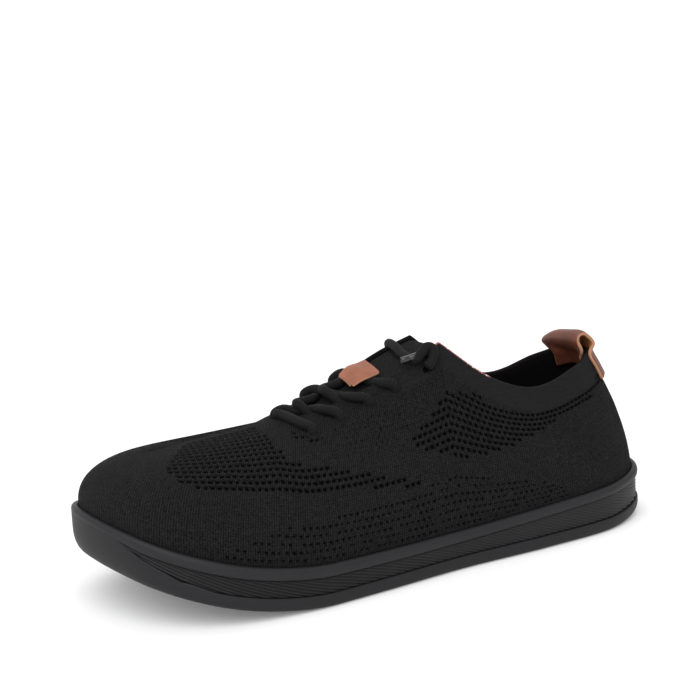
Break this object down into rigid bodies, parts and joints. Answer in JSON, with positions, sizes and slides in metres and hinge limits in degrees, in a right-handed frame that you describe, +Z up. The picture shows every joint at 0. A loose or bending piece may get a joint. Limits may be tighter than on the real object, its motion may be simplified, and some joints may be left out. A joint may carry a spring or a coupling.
{
  "type": "barefoot shoe",
  "caption": "Left low-cut barefoot shoe with a one-piece knitted upper, wide toe box, thin ribbed sole with zigzag and arrow tread, leather tongue patch and heel pull loop.",
  "frame": {"origin": "on the ground, under the middle of the sole's length and width", "axes": "+X to the toe, +Y to the wearer's left, which is the outer side of this left shoe, +Z up"},
  "size_m": [0.284, 0.1042, 0.102],
  "materials": {
    "rubber": "satin moulded",
    "sole_foam": "satin moulded with fine ribs",
    "insole_fabric": "flat woven",
    "knit": "engineered knit with open mesh zones",
    "leather": "smooth vegetable tanned",
    "lace": "round braided",
    "aglet_metal": "satin"
  },
  "bodies": {
    "root": {"outsole": "rubber", "midsole": "sole_foam", "insole": "insole_fabric", "upper": "knit", "tongue": "knit", "tongue_patch": "leather", "lace_crossings": "lace", "lace_loop": "lace", "lace_tip": "lace", "aglet": "aglet_metal", "pull_loop": "leather"}
  },
  "joints": []
}
